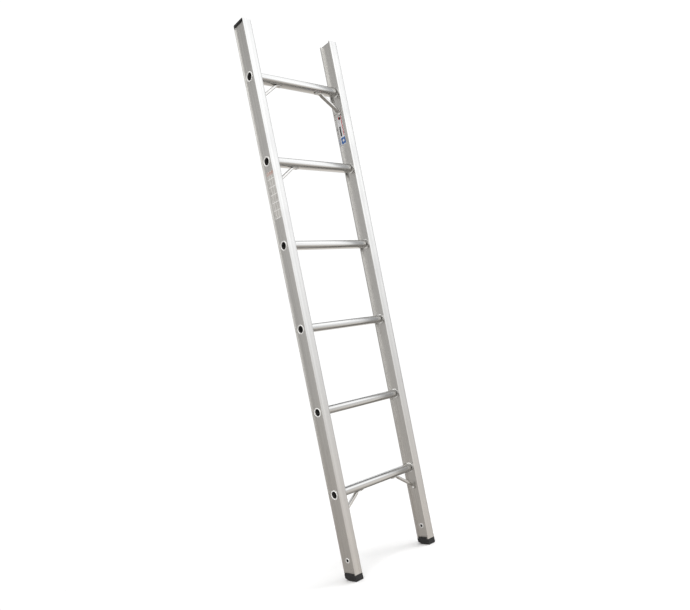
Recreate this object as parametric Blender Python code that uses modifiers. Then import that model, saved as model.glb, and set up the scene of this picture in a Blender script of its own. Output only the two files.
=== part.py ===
"""One aluminium section of an extension ladder: box stiles, hollow rungs, braces, feet and caps.

Metres, +Z up. The section stands upright: X runs along the rungs, Z up the stiles and -Y is the
side that is climbed. The origin is the middle of the footprint, on the ground.
"""

import math

import bmesh
import bpy
from mathutils import Matrix, Vector

# Driving dimensions
OVERALL_WIDTH = 0.455
RUNG_COUNT = 6
RUNG_PITCH = 0.305
FIRST_RUNG_HEIGHT = 0.32
TOP_MARGIN = 0.195  # from the top rung's centre to the ends of the stiles
GAP = 0.0003  # clearance between pieces that touch
WELD = 0.00001

# Stile section: a hollow box between a front and a back flange that stand proud of its two webs
STILE_WIDTH = 0.037
STILE_DEPTH = 0.058
OUTER_FLANGE = 0.0025  # thickness of the flanges' lips outside and on the rung side
INNER_FLANGE = 0.006
FACE_WALL = 0.0035  # front and back wall of the hollow core
WALL = 0.002  # webs of the stiles and walls of the rungs
OUTER_RECESS = 0.004
INNER_RECESS = 0.008

# Rungs: an oval fluted tube whose round ends pass through both webs and are flared over outside
RUNG_DEPTH = 0.04
RUNG_HEIGHT = 0.03
RUNG_SQUARENESS = 2.6  # exponent of the oval, 2 for an ellipse
RUNG_SIDES = 20
SPIGOT_RADIUS = 0.0147
BORE_RADIUS = 0.012
FLARE_RADIUS = 0.0175
FLARE_THICKNESS = 0.0025
BEAD_RADIUS = 0.019
BEAD_THICKNESS = 0.004
NECK_LENGTH = 0.008  # from the web to where the oval tube starts

# Knee braces: flattened tubes whose two ends are pressed flat and riveted
BRACE_HALF_WIDTH = 0.0073
BRACE_THICKNESS = 0.0104
BRACE_SQUARENESS = 4
BRACE_SIDES = 12
TAB_THICKNESS = 0.0035
TAB_SQUARENESS = 6
PRESSED_LENGTH = 0.012  # over which the tube turns into the flat tab
RUNG_TAB = (0.088, 0.118)  # bend and end of the upper tab, from the web
STILE_TAB = (0.076, 0.09)  # bend and end of the lower tab, below the rung's centre
RUNG_RIVET_X = 0.108
STILE_RIVET_DROP = 0.0832
BRACED_CORNERS = (
    ("top_left", RUNG_COUNT - 1, -1),
    ("top_right", RUNG_COUNT - 1, 1),
    ("second_left", RUNG_COUNT - 2, -1),
    ("bottom_left", 0, -1),
    ("bottom_right", 0, 1),
)

# Brace rivets
RIVET_RADIUS = 0.002
RIVET_HEAD_RADIUS = 0.0045
RIVET_HEAD_HEIGHT = 0.0018
RIVET_TAIL_RADIUS = 0.003
RIVET_TAIL_LENGTH = 0.0025
RIVET_GRIP = WALL + 2 * GAP  # from the wall's outside to the tail

# Feet and their eyelets
FOOT_HEIGHT = 0.024
FOOT_ROUNDING = 0.003
SOLE_FLAT_END = 0.01  # depth at which the flat sole ends and its back part starts to rise
SOLE_LIFT = 0.007
FOOT_INSERT_HEIGHT = 0.065
FOOT_STEP_HEIGHT = 0.004
EYELET_HEIGHT = 0.052  # above the stile's lower end
EYELET_BORE_RADIUS = 0.0055
EYELET_TUBE_RADIUS = 0.0068
EYELET_FLANGE_RADIUS = 0.0098
EYELET_FLANGE_THICKNESS = 0.0015

# Top caps
CAP_THICKNESS = 0.001
CAP_SKIRT_HEIGHT = 0.007
CAP_INSERT_HEIGHT = 0.02

# Stickers, as heights below a rung's centre
STICKER_THICKNESS = 0.0003
RATING_STICKER = (0.0906, 0.202)
RATING_STICKER_DEPTHS = (-0.006, 0.02)  # front and back edge
INSTRUCTION_STICKER = (0.037, 0.206)
INSTRUCTION_STICKER_DEPTHS = (-0.0225, 0.016)

# Worked out from the above
TOP_RUNG_HEIGHT = FIRST_RUNG_HEIGHT + (RUNG_COUNT - 1) * RUNG_PITCH
STILE_TOP = TOP_RUNG_HEIGHT + TOP_MARGIN
STILE_LENGTH = STILE_TOP - FOOT_HEIGHT
OUTER_WEB = OVERALL_WIDTH / 2 - OUTER_RECESS  # |x| of the outer web's outside
INNER_WEB = OVERALL_WIDTH / 2 - STILE_WIDTH + INNER_RECESS  # |x| of the inner web's rung side
CORE_OUTER = OUTER_WEB - WALL
CORE_INNER = INNER_WEB + WALL
CORE_MIDDLE = (CORE_OUTER + CORE_INNER) / 2
CORE_DEPTH = STILE_DEPTH - 2 * FACE_WALL
SIDES = {"left": -1, "right": 1}


def rung_height(index):
    return FIRST_RUNG_HEIGHT + index * RUNG_PITCH


def clear_scene():
    for old in list(bpy.data.objects):
        bpy.data.objects.remove(old)


def new_collection(name):
    collection = bpy.data.collections.new(name)
    bpy.context.scene.collection.children.link(collection)
    return collection


def new_material(name, colour, roughness, metallic):
    material = bpy.data.materials.new(name)
    material.use_nodes = True
    shader = material.node_tree.nodes["Principled BSDF"]
    shader.inputs["Base Color"].default_value = (*colour, 1)
    shader.inputs["Roughness"].default_value = roughness
    shader.inputs["Metallic"].default_value = metallic
    return material


def add_mesh(name, mesh, collection, material=None):
    """A new object that shows this mesh."""
    piece = bpy.data.objects.new(name, mesh)
    collection.objects.link(piece)
    if material:
        mesh.materials.clear()
        mesh.materials.append(material)
    return piece


def mesh_of(name, shape):
    """The bmesh turned into a mesh, with its faces pointing out."""
    bmesh.ops.recalc_face_normals(shape, faces=shape.faces)
    mesh = bpy.data.meshes.new(name)
    shape.to_mesh(mesh)
    shape.free()
    return mesh


def shade_round(piece, sharp_from=35):
    piece.data.shade_smooth()
    piece.data.set_sharp_from_angle(angle=math.radians(sharp_from))


def box(name, low, high, collection, material=None):
    """A block between two opposite corners."""
    shape = bmesh.new()
    bmesh.ops.create_cube(shape, size=1)
    low, high = Vector(low), Vector(high)
    bmesh.ops.scale(shape, vec=high - low, verts=shape.verts)
    bmesh.ops.translate(shape, vec=(low + high) / 2, verts=shape.verts)
    return add_mesh(name, mesh_of(name, shape), collection, material)


def cutting_cylinder(name, radius, length, centre, axis, sides=RUNG_SIDES):
    """A hidden cylinder along an axis, for cutting holes."""
    shape = bmesh.new()
    bmesh.ops.create_cone(
        shape, cap_ends=True, segments=sides, radius1=radius, radius2=radius, depth=length
    )
    turn = Vector((0, 0, 1)).rotation_difference(Vector(axis)).to_matrix()
    bmesh.ops.rotate(shape, matrix=turn, verts=shape.verts)
    bmesh.ops.translate(shape, vec=Vector(centre), verts=shape.verts)
    return as_cutter(add_mesh(name, mesh_of(name, shape), CUTTERS))


def as_cutter(piece):
    piece.hide_render = True
    piece.display_type = "WIRE"
    return piece


def boolean(piece, other, operation):
    modifier = piece.modifiers.new(other.name, "BOOLEAN")
    modifier.operation = operation
    modifier.object = other
    modifier.solver = "EXACT"


def loft(name, rings, collection, material, hollow=False):
    """A solid skinned over rings. A hollow one runs along its outside and back along its bore."""
    shape = bmesh.new()
    rows = [[shape.verts.new(point) for point in ring] for ring in rings]
    pairs = list(zip(rows, rows[1:]))
    if hollow:
        pairs.append((rows[-1], rows[0]))
    else:
        shape.faces.new(rows[0])
        shape.faces.new(rows[-1])
    for row, following in pairs:
        for here in range(len(row)):
            there = (here + 1) % len(row)
            shape.faces.new((row[here], row[there], following[there], following[here]))
    piece = add_mesh(name, mesh_of(name, shape), collection, material)
    shade_round(piece)
    return piece


def turned(name, profile, closed, collection, material, sides=16):
    """A solid of revolution about Z. The profile of (radius, height) runs down its outer side."""
    mesh = bpy.data.meshes.new(name)
    edges = [(i, i + 1) for i in range(len(profile) - 1)]
    if closed:
        edges.append((len(profile) - 1, 0))
    mesh.from_pydata([(radius, 0, height) for radius, height in profile], edges, [])
    piece = add_mesh(name, mesh, collection, material)
    screw = piece.modifiers.new("Turn", "SCREW")
    screw.steps = sides
    screw.render_steps = sides
    screw.use_merge_vertices = True
    screw.merge_threshold = WELD
    return piece


def oval(x, half_depth, half_height, squareness, sides=RUNG_SIDES):
    """A superelliptic ring in the plane of this x, with a flat facet at its top and its bottom."""
    ring = []
    for step in range(sides):
        angle = 2 * math.pi * (step + 0.5) / sides
        across, up = math.cos(angle), math.sin(angle)
        y = math.copysign(abs(across) ** (2 / squareness), across) * half_depth
        z = math.copysign(abs(up) ** (2 / squareness), up) * half_height
        ring.append((x, y, z))
    return ring


def stile_outlines(side):
    """The section of a stile: its outline with both recesses, and the hollow core."""
    half = STILE_DEPTH / 2
    outer_half, inner_half = half - OUTER_FLANGE, half - INNER_FLANGE
    outer, inner = OVERALL_WIDTH / 2, OVERALL_WIDTH / 2 - STILE_WIDTH
    outline = [
        (outer, -half),
        (outer, -outer_half),
        (OUTER_WEB, -outer_half),
        (OUTER_WEB, outer_half),
        (outer, outer_half),
        (outer, half),
        (inner, half),
        (inner, inner_half),
        (INNER_WEB, inner_half),
        (INNER_WEB, -inner_half),
        (inner, -inner_half),
        (inner, -half),
    ]
    core_half = CORE_DEPTH / 2
    core = [
        (CORE_OUTER, -core_half),
        (CORE_OUTER, core_half),
        (CORE_INNER, core_half),
        (CORE_INNER, -core_half),
    ]
    return [[(side * x, y) for x, y in points] for points in (outline, core)]


def extrusion(name, outlines, low, high, collection, material):
    """A straight extrusion along Z of flat outlines, as a closed mesh object."""
    curve = bpy.data.curves.new(name, "CURVE")
    curve.dimensions = "2D"
    curve.fill_mode = "BOTH"
    curve.extrude = (high - low) / 2
    for points in outlines:
        spline = curve.splines.new("POLY")
        spline.points.add(len(points) - 1)
        for point, (x, y) in zip(spline.points, points):
            point.co = (x, y, 0, 1)
        spline.use_cyclic_u = True
    guide = bpy.data.objects.new(name + "_outline", curve)
    collection.objects.link(guide)
    guide.location.z = (low + high) / 2
    bpy.context.view_layer.update()
    place = guide.matrix_world.copy()
    graph = bpy.context.evaluated_depsgraph_get()
    mesh = bpy.data.meshes.new_from_object(guide.evaluated_get(graph))
    bpy.data.objects.remove(guide)
    shape = bmesh.new()
    shape.from_mesh(mesh)
    bmesh.ops.remove_doubles(shape, verts=shape.verts, dist=WELD)
    piece = add_mesh(name, mesh_of(name, shape), collection, material)
    piece.matrix_world = place
    return piece


def build_stile(word, side):
    """A stile with its holes for the rungs, the brace rivets and the foot's eyelet."""
    name = word + "_stile"
    stile = extrusion(name, stile_outlines(side), FOOT_HEIGHT, STILE_TOP, PARTS, ALUMINIUM)
    across = (side, 0, 0)
    for index in range(RUNG_COUNT):
        centre = (side * CORE_MIDDLE, 0, rung_height(index))
        hole = cutting_cylinder(
            f"{word}_rung_hole_{index + 1}", SPIGOT_RADIUS + GAP, STILE_WIDTH, centre, across
        )
        boolean(stile, hole, "DIFFERENCE")
    centre = (side * CORE_MIDDLE, 0, FOOT_HEIGHT + EYELET_HEIGHT)
    hole = cutting_cylinder(
        word + "_eyelet_hole", EYELET_TUBE_RADIUS + GAP, STILE_WIDTH, centre, across, 16
    )
    boolean(stile, hole, "DIFFERENCE")
    for corner, index, brace_side in BRACED_CORNERS:
        if brace_side == side:
            hole = rivet_hole(corner + "_web_hole", stile_rivet_seat(index, side), across)
            boolean(stile, hole, "DIFFERENCE")


def rung_rings():
    """The rings of a rung about its own centre, out along its outside and back along its bore."""
    flare_root = OUTER_WEB + GAP
    bead_root = INNER_WEB - GAP
    body_start = INNER_WEB - NECK_LENGTH
    depth, height = RUNG_DEPTH / 2, RUNG_HEIGHT / 2
    outside = [
        (flare_root + FLARE_THICKNESS, SPIGOT_RADIUS, SPIGOT_RADIUS, 2),
        (flare_root + FLARE_THICKNESS / 2, FLARE_RADIUS, FLARE_RADIUS, 2),
        (flare_root, FLARE_RADIUS, FLARE_RADIUS, 2),
        (flare_root, SPIGOT_RADIUS, SPIGOT_RADIUS, 2),
        (bead_root, SPIGOT_RADIUS, SPIGOT_RADIUS, 2),
        (bead_root, BEAD_RADIUS, BEAD_RADIUS, 2),
        (bead_root - BEAD_THICKNESS, BEAD_RADIUS, BEAD_RADIUS, 2),
        (body_start, depth, height, RUNG_SQUARENESS),
    ]
    bore = [
        (body_start, depth - WALL, height - WALL, RUNG_SQUARENESS),
        (bead_root - BEAD_THICKNESS, BORE_RADIUS, BORE_RADIUS, 2),
        (flare_root, BORE_RADIUS, BORE_RADIUS, 2),
        (flare_root + FLARE_THICKNESS, BORE_RADIUS + WALL / 2, BORE_RADIUS + WALL / 2, 2),
    ]
    rings = [oval(*station) for station in outside]
    rings += [oval(-x, *section) for x, *section in reversed(outside)]
    rings += [oval(-x, *section) for x, *section in reversed(bore)]
    rings += [oval(*station) for station in bore]
    return rings


def build_rung(index):
    """A rung with the rivet holes of the braces that hang under it."""
    rung = loft(f"rung_{index + 1}", rung_rings(), PARTS, ALUMINIUM, hollow=True)
    rung.location.z = rung_height(index)
    for corner, rung_index, side in BRACED_CORNERS:
        if rung_index == index:
            seat = rung_rivet_seat(index, side)
            boolean(rung, rivet_hole(corner + "_rung_hole", seat, (0, 0, 1)), "DIFFERENCE")


def rung_rivet_seat(index, side):
    """Where the rivet of an upper tab meets the rung's underside."""
    return Vector((side * (INNER_WEB - RUNG_RIVET_X), 0, rung_height(index) - RUNG_HEIGHT / 2))


def stile_rivet_seat(index, side):
    """Where the rivet of a lower tab meets the stile's inner web."""
    return Vector((side * INNER_WEB, 0, rung_height(index) - STILE_RIVET_DROP))


def rivet_hole(name, seat, axis):
    reach = 2 * (TAB_THICKNESS + WALL)
    return cutting_cylinder(name, RIVET_RADIUS + GAP, reach, seat, axis, 12)


def brace_section(centre, thick_way, half_thickness, squareness):
    """A ring across a brace, given the direction in which the brace is thin."""
    ring = []
    for step in range(BRACE_SIDES):
        angle = 2 * math.pi * (step + 0.5) / BRACE_SIDES
        thin, wide = math.cos(angle), math.sin(angle)
        thin = math.copysign(abs(thin) ** (2 / squareness), thin) * half_thickness
        wide = math.copysign(abs(wide) ** (2 / squareness), wide) * BRACE_HALF_WIDTH
        ring.append(centre + thick_way * thin + Vector((0, wide, 0)))
    return ring


def build_brace(corner, index, side):
    """A brace from the rung's underside down to the stile's inner web."""
    tab_offset = GAP + TAB_THICKNESS / 2
    upper_z = -RUNG_HEIGHT / 2 - tab_offset
    lower_x = -tab_offset
    end_of_upper = Vector((-RUNG_TAB[1], 0, upper_z))
    upper_bend = Vector((-RUNG_TAB[0], 0, upper_z))
    lower_bend = Vector((lower_x, 0, -STILE_TAB[0]))
    end_of_lower = Vector((lower_x, 0, -STILE_TAB[1]))
    slope = (lower_bend - upper_bend).normalized()
    up, into_web = Vector((0, 0, 1)), Vector((1, 0, 0))
    slope_normal = Vector((-slope.z, 0, slope.x))
    flat = (TAB_THICKNESS / 2, TAB_SQUARENESS)
    tube = (BRACE_THICKNESS / 2, BRACE_SQUARENESS)
    stations = [
        (end_of_upper, up, flat),
        (upper_bend, (up + slope_normal).normalized(), flat),
        (upper_bend + slope * PRESSED_LENGTH, slope_normal, tube),
        (lower_bend - slope * PRESSED_LENGTH, slope_normal, tube),
        (lower_bend, (slope_normal + into_web).normalized(), flat),
        (end_of_lower, into_web, flat),
    ]
    to_corner = Matrix.Translation((side * INNER_WEB, 0, rung_height(index)))
    mirror = Matrix.Diagonal((side, 1, 1, 1))
    rings = [
        [to_corner @ mirror @ point for point in brace_section(centre, way, *section)]
        for centre, way, section in stations
    ]
    brace = loft("brace_" + corner, rings, PARTS, ALUMINIUM)
    across = (side, 0, 0)
    upper_hole = rivet_hole(corner + "_upper_tab_hole", rung_rivet_seat(index, side), (0, 0, 1))
    lower_hole = rivet_hole(corner + "_lower_tab_hole", stile_rivet_seat(index, side), across)
    boolean(brace, upper_hole, "DIFFERENCE")
    boolean(brace, lower_hole, "DIFFERENCE")


def build_rivet(name, seat, into):
    """A rivet with its head on the tab and its tail behind the wall, pointing along into."""
    head_seat = -(TAB_THICKNESS + 2 * GAP)
    tail_seat = RIVET_GRIP
    profile = [
        (0, tail_seat + RIVET_TAIL_LENGTH),
        (RIVET_TAIL_RADIUS * 0.7, tail_seat + RIVET_TAIL_LENGTH),
        (RIVET_TAIL_RADIUS, tail_seat + RIVET_TAIL_LENGTH / 2),
        (RIVET_TAIL_RADIUS, tail_seat),
        (RIVET_RADIUS, tail_seat),
        (RIVET_RADIUS, head_seat),
        (RIVET_HEAD_RADIUS, head_seat),
        (RIVET_HEAD_RADIUS * 0.8, head_seat - RIVET_HEAD_HEIGHT * 0.7),
        (0, head_seat - RIVET_HEAD_HEIGHT),
    ]
    rivet = turned(name, profile, False, PARTS, STEEL, sides=12)
    rivet.location = seat
    rivet.rotation_mode = "QUATERNION"
    rivet.rotation_quaternion = Vector((0, 0, 1)).rotation_difference(Vector(into))


def build_foot(word, side):
    """A moulded foot: the block under the stile, its insert in the core and a step per recess."""
    outer, inner = OVERALL_WIDTH / 2, OVERALL_WIDTH / 2 - STILE_WIDTH
    front, back, top = -STILE_DEPTH / 2, STILE_DEPTH / 2, FOOT_HEIGHT - GAP
    profile = [(front, top), (front, 0), (SOLE_FLAT_END, 0), (back, SOLE_LIFT), (back, top)]
    shape = bmesh.new()
    inside, outside = [
        [shape.verts.new((side * x, y, z)) for y, z in profile] for x in (inner, outer)
    ]
    shape.faces.new(inside)
    shape.faces.new(outside)
    for here in range(len(profile)):
        shape.faces.new((inside[here - 1], inside[here], outside[here], outside[here - 1]))
    sole_edges = [edge for edge in shape.edges if all(v.co.z < FOOT_HEIGHT / 2 for v in edge.verts)]
    bmesh.ops.bevel(
        shape, geom=sole_edges, offset=FOOT_ROUNDING, segments=2, profile=0.5, affect="EDGES"
    )
    foot = add_mesh(word + "_foot", mesh_of(word + "_foot", shape), PARTS, RUBBER)
    overlap = FOOT_HEIGHT / 2  # how far the added blocks reach down into the foot
    insert_half = CORE_DEPTH / 2 - GAP
    outer_half, inner_half = back - OUTER_FLANGE - GAP, back - INNER_FLANGE - GAP
    blocks = [
        ("insert", CORE_INNER + GAP, CORE_OUTER - GAP, insert_half, FOOT_INSERT_HEIGHT),
        ("outer_step", OUTER_WEB + GAP, outer - GAP, outer_half, FOOT_STEP_HEIGHT),
        ("inner_step", inner + GAP, INNER_WEB - GAP, inner_half, FOOT_STEP_HEIGHT),
    ]
    for label, x_low, x_high, half, height in blocks:
        x_low, x_high = sorted((side * x_low, side * x_high))
        block = box(
            f"{word}_foot_{label}",
            (x_low, -half, FOOT_HEIGHT - overlap),
            (x_high, half, FOOT_HEIGHT + height),
            CUTTERS,
        )
        boolean(foot, as_cutter(block), "UNION")
    centre = (side * CORE_MIDDLE, 0, FOOT_HEIGHT + EYELET_HEIGHT)
    hole = cutting_cylinder(
        word + "_foot_hole", EYELET_TUBE_RADIUS + GAP, STILE_WIDTH, centre, (side, 0, 0), 16
    )
    boolean(foot, hole, "DIFFERENCE")


def build_eyelet(word, side):
    """The hollow rivet that holds a foot, flanged on the outside of both webs."""
    half = (OUTER_WEB - INNER_WEB) / 2 + GAP
    lip = EYELET_FLANGE_THICKNESS
    profile = [
        (EYELET_TUBE_RADIUS, half + lip),
        (EYELET_FLANGE_RADIUS, half + lip / 2),
        (EYELET_FLANGE_RADIUS, half),
        (EYELET_TUBE_RADIUS, half),
        (EYELET_TUBE_RADIUS, -half),
        (EYELET_FLANGE_RADIUS, -half),
        (EYELET_FLANGE_RADIUS, -half - lip / 2),
        (EYELET_TUBE_RADIUS, -half - lip),
        (EYELET_BORE_RADIUS, -half - lip / 2),
        (EYELET_BORE_RADIUS, half + lip / 2),
    ]
    eyelet = turned(word + "_foot_eyelet", profile, True, PARTS, STEEL)
    eyelet.location = (side * CORE_MIDDLE, 0, FOOT_HEIGHT + EYELET_HEIGHT)
    eyelet.rotation_euler = (0, math.pi / 2, 0)


def build_top_cap(word, side):
    """A plastic cap on a stile's upper end: a plate, an insert in the core and a skirt outside."""
    outer = OVERALL_WIDTH / 2
    half = CORE_DEPTH / 2 - GAP
    x_low, x_high = sorted((side * (INNER_WEB + GAP), side * (outer - GAP)))
    cap = box(
        word + "_top_cap",
        (x_low, -half, STILE_TOP + GAP),
        (x_high, half, STILE_TOP + GAP + CAP_THICKNESS),
        PARTS,
        PLASTIC,
    )
    blocks = [
        ("insert", CORE_INNER + GAP, CORE_OUTER - GAP, CAP_INSERT_HEIGHT),
        ("skirt", OUTER_WEB + GAP, outer - GAP, CAP_SKIRT_HEIGHT),
    ]
    for label, x_low, x_high, height in blocks:
        x_low, x_high = sorted((side * x_low, side * x_high))
        block = box(
            f"{word}_cap_{label}",
            (x_low, -half, STILE_TOP - height),
            (x_high, half, STILE_TOP + GAP + CAP_THICKNESS / 2),
            CUTTERS,
        )
        boolean(cap, as_cutter(block), "UNION")


def build_sticker(name, side, web, outward, depths, drops, rung_index):
    """A thin sticker on one face of a web, between two depths and two distances below a rung."""
    near, far = web + outward * GAP, web + outward * (GAP + STICKER_THICKNESS)
    x_low, x_high = sorted((side * near, side * far))
    upper, lower = (rung_height(rung_index) - drop for drop in drops)
    box(name, (x_low, depths[0], lower), (x_high, depths[1], upper), PARTS, STICKER)


clear_scene()
PARTS = new_collection("extension_ladder_section")
CUTTERS = new_collection("cutters")
ALUMINIUM = new_material("mill aluminium", (0.72, 0.72, 0.71), 0.35, 1)
STEEL = new_material("zinc-plated steel", (0.6, 0.6, 0.6), 0.3, 1)
RUBBER = new_material("black rubber", (0.015, 0.015, 0.016), 0.6, 0)
PLASTIC = new_material("black plastic", (0.02, 0.02, 0.02), 0.5, 0)
STICKER = new_material("sticker film", (0.7, 0.7, 0.72), 0.4, 0)

for side_word, side_sign in SIDES.items():
    build_stile(side_word, side_sign)
    build_foot(side_word, side_sign)
    build_eyelet(side_word, side_sign)
    build_top_cap(side_word, side_sign)
for rung_number in range(RUNG_COUNT):
    build_rung(rung_number)
for corner_name, braced_rung, corner_side in BRACED_CORNERS:
    build_brace(corner_name, braced_rung, corner_side)
    upper_seat = rung_rivet_seat(braced_rung, corner_side)
    lower_seat = stile_rivet_seat(braced_rung, corner_side)
    build_rivet(f"rivet_{corner_name}_rung", upper_seat, (0, 0, 1))
    build_rivet(f"rivet_{corner_name}_stile", lower_seat, (corner_side, 0, 0))
build_sticker(
    "rating_sticker", 1, INNER_WEB, -1, RATING_STICKER_DEPTHS, RATING_STICKER, RUNG_COUNT - 1
)
build_sticker(
    "instruction_sticker",
    -1,
    OUTER_WEB,
    1,
    INSTRUCTION_STICKER_DEPTHS,
    INSTRUCTION_STICKER,
    RUNG_COUNT - 2,
)
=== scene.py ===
"""The looks of one aluminium extension-ladder section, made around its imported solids.

Metres, +Z up. X runs along the rungs and -Y is the side that is climbed. The section has no joints,
so every piece rides on the one body, root.
"""

import math

import bmesh
import bpy
from mathutils import Matrix, Vector


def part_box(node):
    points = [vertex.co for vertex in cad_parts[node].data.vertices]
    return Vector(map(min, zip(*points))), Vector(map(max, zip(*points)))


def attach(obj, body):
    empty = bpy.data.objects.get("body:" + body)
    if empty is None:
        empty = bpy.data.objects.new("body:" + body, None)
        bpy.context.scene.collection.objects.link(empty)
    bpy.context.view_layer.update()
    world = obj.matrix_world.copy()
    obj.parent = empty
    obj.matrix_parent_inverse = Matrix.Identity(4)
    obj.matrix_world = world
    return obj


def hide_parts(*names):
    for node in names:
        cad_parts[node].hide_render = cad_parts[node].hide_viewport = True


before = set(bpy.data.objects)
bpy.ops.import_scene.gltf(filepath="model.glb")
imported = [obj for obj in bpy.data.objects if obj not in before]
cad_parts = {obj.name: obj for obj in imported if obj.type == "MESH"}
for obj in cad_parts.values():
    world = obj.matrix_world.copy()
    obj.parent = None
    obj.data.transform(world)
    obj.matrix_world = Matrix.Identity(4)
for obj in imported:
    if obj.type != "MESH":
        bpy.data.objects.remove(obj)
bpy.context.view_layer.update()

BODY = "root"
SIDES = {"left": -1, "right": 1}
RUNG_NAMES = sorted(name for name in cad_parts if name.startswith("rung_"))
BRACE_NAMES = sorted(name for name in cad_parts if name.startswith("brace_"))
GAP = 0.0003  # clearance that the solids keep where they touch

# Sizes read from the frame
STILE_LOW, STILE_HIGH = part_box("right_stile")
OUTER_X, INNER_X = STILE_HIGH.x, STILE_LOW.x
HALF_DEPTH = STILE_HIGH.y
STILE_BOTTOM, STILE_TOP = STILE_LOW.z, STILE_HIGH.z
RUNG_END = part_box(RUNG_NAMES[0])[1].x

# The stile's section, as its solid has it
OUTER_RECESS = 0.004
INNER_RECESS = 0.008
WALL = 0.002
FACE_WALL = 0.0035
OUTER_FLANGE = 0.0025
INNER_FLANGE = 0.006
OUTER_WEB = OUTER_X - OUTER_RECESS
INNER_WEB = INNER_X + INNER_RECESS

# Rungs
BODY_DEPTH = 0.04
BODY_HEIGHT = 0.03
SQUARENESS = 3
SPIGOT_RADIUS = 0.0147
BORE_RADIUS = 0.012
FLARE_RADIUS = 0.0175
MOUTH_RADIUS = 0.0132  # where the flared mouth turns into the bore
BEAD_RADIUS = 0.0188
BEAD_LENGTH = 0.004
NECK_LENGTH = 0.008
RIDGE_PITCH = 0.0028  # between the fine ridges of the tread
RIDGE_HEIGHT = 0.0003
TREAD_HALF = 0.0098  # half the width of the ridged tread on top of a rung
RUNG_SIDES = 192

# Braces
BRACE_HALF_WIDTH = 0.0073
BRACE_THICKNESS = 0.0104
BRACE_SQUARENESS = 4.5
BRACE_SPACING = 0.0015  # between the rings along a brace
BRACE_SIDES = 40
TAB_THICKNESS = 0.0035
TAB_SQUARENESS = 6
UPPER_TAB_LENGTH = 0.03
LOWER_TAB_LENGTH = 0.014
TIP_SHARE = 0.25  # of a tab's width that is left at its round tip
PRESSED_LENGTH = 0.012  # over which the tube turns into the flat tab
BEND_RADIUS = 0.006

# Brace rivets
RIVET_HEAD_RADIUS = 0.0045
RIVET_HEAD_HEIGHT = 0.0018
RIVET_SHANK_RADIUS = 0.002
RIVET_TAIL_RADIUS = 0.003
RIVET_TAIL_LENGTH = 0.0025
RIVET_PIERCING_RADIUS = 0.0012  # the small hollow in the middle of a head

# Foot eyelets
EYELET_BORE_RADIUS = 0.0055
EYELET_TUBE_RADIUS = 0.0068
EYELET_LIP = 0.0015

# Feet and caps
SOLE_FLAT_END = 0.01
SOLE_LIFT = 0.007
FOOT_ROUNDING = 0.003
STEP_HEIGHT = 0.004  # how far a foot's steps reach up into the recesses
STEP_SETBACK = 0.0008
SOLE_GROOVE_PITCH = 0.0065
SOLE_GROOVE_HALF_WIDTH = 0.0011
SOLE_GROOVE_DEPTH = 0.0016
STEP_ROUNDING = 0.0004
STEP_ROOT = 0.006  # how far the insert and the steps run down into the foot's block
CAP_SKIRT_DEPTH = 0.007
CAP_ROUNDING = 0.0003
CAP_ROOT = 0.0008  # how far the insert and the skirt run up into the cap's plate

# Stickers
STICKER_ROUNDING = 0.003
GRID_LEFT = -0.0225  # where the instruction sticker's grid starts
GRID_CELL_WIDTH = 0.0128
GRID_ROWS = 6

# Stage
FLOOR_TONE = 0.62
FLOOR_FADE = (0.7, 2.2)  # distances at which the floor starts and ends fading out
BACKDROP_LEVEL = 1.05
LIGHTS = (  # name, place, target, side of the square, watts
    ("key", (2.6, -2.2, 1.8), (0, 0, 0), 1.6, 40),
    ("top", (0.3, -0.3, 4.2), (0, 0, 0), 4, 230),
    ("fill", (-3, -1, 1.2), (0, 0, 1), 2, 35),
)
CAMERA_LENS = 32.74
CAMERA_SHIFT = (0.0485, 0.1301)
CAMERA_PLACE = (-1.6824, -1.7269, 0.752)
CAMERA_FORWARD = (0.6421, 0.7662, -0.0263)
CAMERA_UP = (0.1688, -0.1078, 0.9797)


def rung_centre(name):
    low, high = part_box(name)
    return (low + high) / 2


# ---------------------------------------------------------------- shapes


def mesh_from(name, shape, smooth_below=40):
    """The bmesh as a mesh that faces out and is shaded smooth across its shallow edges."""
    bmesh.ops.recalc_face_normals(shape, faces=shape.faces)
    mesh = bpy.data.meshes.new(name)
    shape.to_mesh(mesh)
    shape.free()
    mesh.shade_smooth()
    mesh.set_sharp_from_angle(angle=math.radians(smooth_below))
    return mesh


def new_object(name, mesh):
    piece = bpy.data.objects.new(name, mesh)
    bpy.context.scene.collection.objects.link(piece)
    return piece


def place(piece, material, slot, *nodes):
    """Gives a finished piece its material and its body, and hides the solids that it stands for.
    The slot is not used.
    """
    piece.data.materials.clear()
    piece.data.materials.append(material)
    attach(piece, BODY)
    if nodes:
        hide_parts(*nodes)
    return piece


def skin(rings, hollow=False):
    """A bmesh skinned over rings. A hollow one closes on itself, back along its inside."""
    shape = bmesh.new()
    rows = [[shape.verts.new(point) for point in ring] for ring in rings]
    pairs = list(zip(rows, rows[1:]))
    if hollow:
        pairs.append((rows[-1], rows[0]))
    else:
        shape.faces.new(rows[0])
        shape.faces.new(rows[-1])
    for row, following in pairs:
        for here in range(len(row)):
            there = (here + 1) % len(row)
            shape.faces.new((row[here], row[there], following[there], following[here]))
    return shape


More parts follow.
